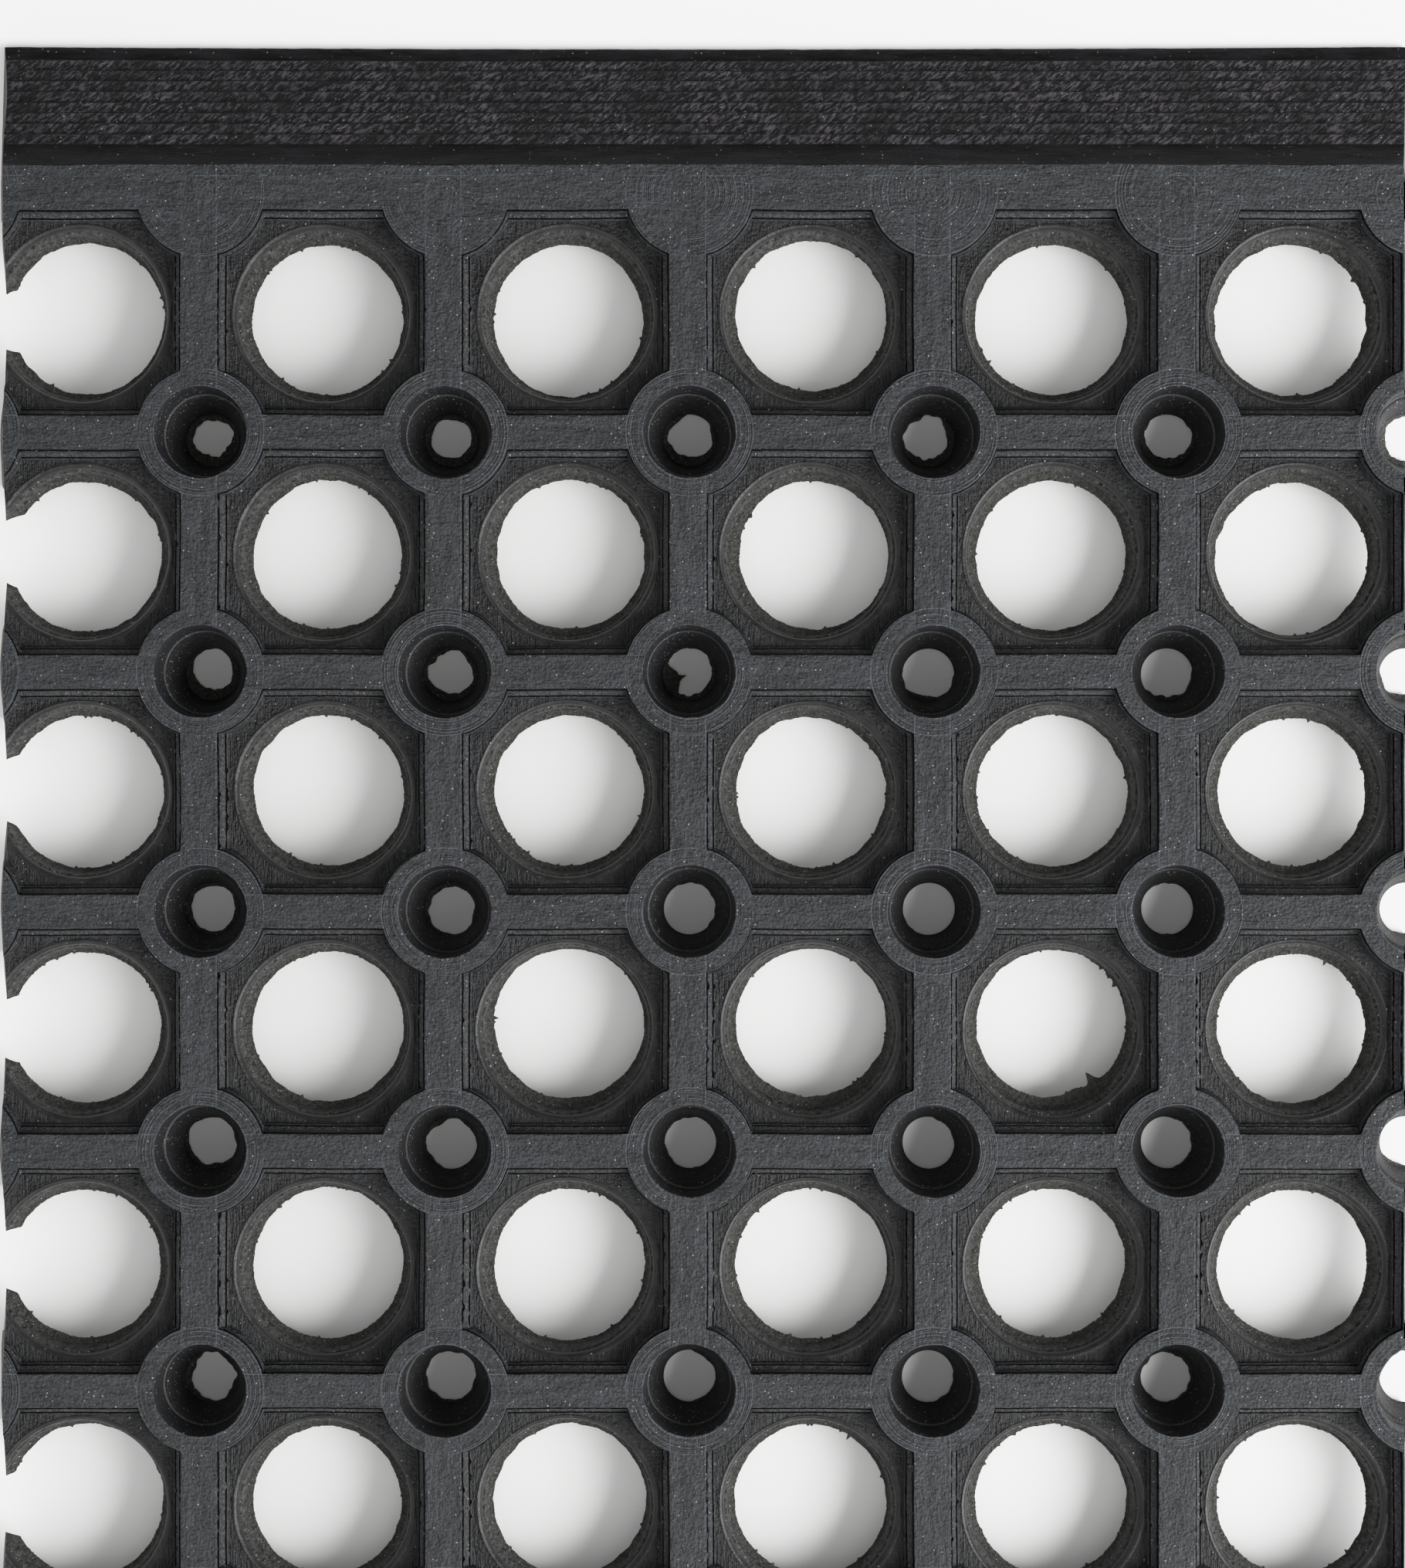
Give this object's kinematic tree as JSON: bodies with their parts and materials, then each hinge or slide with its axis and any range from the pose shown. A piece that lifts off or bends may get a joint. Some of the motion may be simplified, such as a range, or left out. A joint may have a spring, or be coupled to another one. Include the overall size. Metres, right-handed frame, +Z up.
{
  "type": "door mat",
  "caption": "Hollow rubber door mat: raised ribs with a hollow ring at each crossing, round drain holes, and a stepped ramp along two edges.",
  "frame": {"origin": "middle of the mat's underside, on the floor", "axes": "+Z up, +Y towards the front ramp, +X along the ramps to the right"},
  "size_m": [0.4138, 0.5058, 0.022],
  "materials": {
    "rubber": "matt moulded black rubber with a fine pitted grain"
  },
  "bodies": {
    "root": {"front_ramp": "rubber", "front_border": "rubber", "ring_row_1": "rubber", "ring_row_2": "rubber", "ring_row_3": "rubber", "ring_row_4": "rubber", "ring_row_5": "rubber", "rear_border": "rubber", "rear_ramp": "rubber"}
  },
  "joints": []
}
